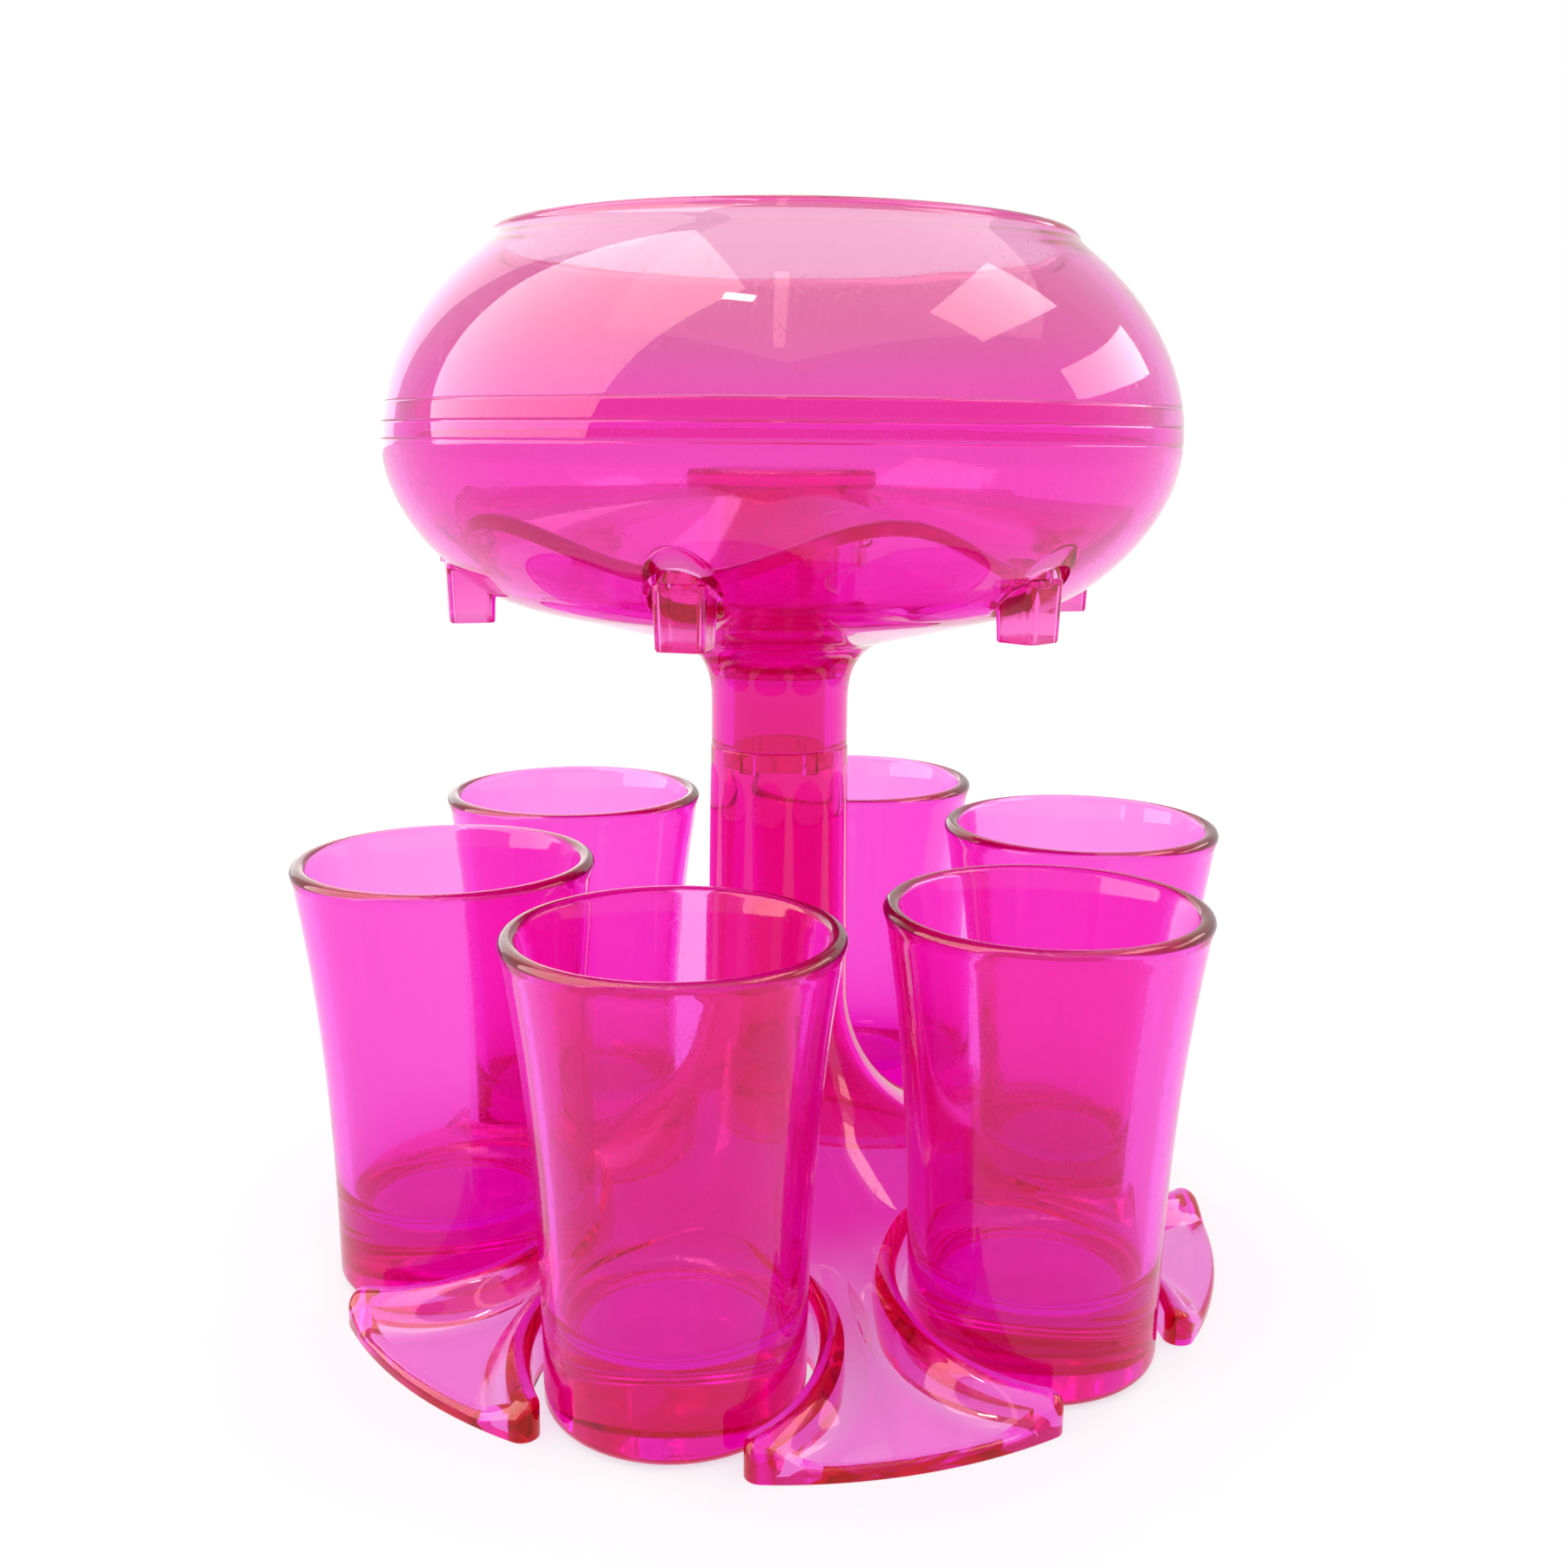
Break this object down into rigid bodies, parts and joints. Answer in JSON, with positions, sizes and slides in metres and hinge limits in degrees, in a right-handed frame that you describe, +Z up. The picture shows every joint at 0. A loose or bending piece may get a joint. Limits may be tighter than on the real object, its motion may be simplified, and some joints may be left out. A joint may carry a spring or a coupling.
{
  "type": "party shot dispenser",
  "caption": "Squat open bowl on a hollow column that splits a poured drink through spouts into flared glasses standing in pockets of its foot.",
  "frame": {"origin": "on the table under the axis of the column, at the bottom centre of the stand", "axes": "+Z up along the column; glass_1 stands at -Y, and the others follow every 60 degrees, counter-clockwise seen from above"},
  "size_m": [0.151, 0.159, 0.167],
  "materials": {
    "base_stand": "clear tinted, polished",
    "bowl_lower_shell": "clear tinted, polished",
    "bowl_upper_shell": "clear tinted, polished",
    "distributor_tray": "clear tinted, polished",
    "hub_plug": "clear tinted, polished",
    "spouts": "clear tinted, polished",
    "glasses": "clear tinted, polished"
  },
  "bodies": {
    "stand": {"base_stand": "base_stand"},
    "bowl": {"bowl_lower_shell": "bowl_lower_shell", "bowl_upper_shell": "bowl_upper_shell", "distributor_tray": "distributor_tray", "hub_plug": "hub_plug", "spout_1": "spouts", "spout_2": "spouts", "spout_3": "spouts", "spout_4": "spouts", "spout_5": "spouts", "spout_6": "spouts"},
    "glass_1": {"glass_1": "glasses"},
    "glass_2": {"glass_2": "glasses"},
    "glass_3": {"glass_3": "glasses"},
    "glass_4": {"glass_4": "glasses"},
    "glass_5": {"glass_5": "glasses"},
    "glass_6": {"glass_6": "glasses"}
  },
  "joints": [
    {"name": "bowl_lift", "type": "slide", "parent": "stand", "child": "bowl", "axis": [0, 0, 1], "range_m": [0, 0.03]},
    {"name": "glass_1_lift", "type": "slide", "parent": "stand", "child": "glass_1", "axis": [0, 0, 1], "range_m": [0, 0.03]},
    {"name": "glass_2_lift", "type": "slide", "parent": "stand", "child": "glass_2", "axis": [0, 0, 1], "range_m": [0, 0.03]},
    {"name": "glass_3_lift", "type": "slide", "parent": "stand", "child": "glass_3", "axis": [0, 0, 1], "range_m": [0, 0.03]},
    {"name": "glass_4_lift", "type": "slide", "parent": "stand", "child": "glass_4", "axis": [0, 0, 1], "range_m": [0, 0.03]},
    {"name": "glass_5_lift", "type": "slide", "parent": "stand", "child": "glass_5", "axis": [0, 0, 1], "range_m": [0, 0.03]},
    {"name": "glass_6_lift", "type": "slide", "parent": "stand", "child": "glass_6", "axis": [0, 0, 1], "range_m": [0, 0.03]}
  ]
}
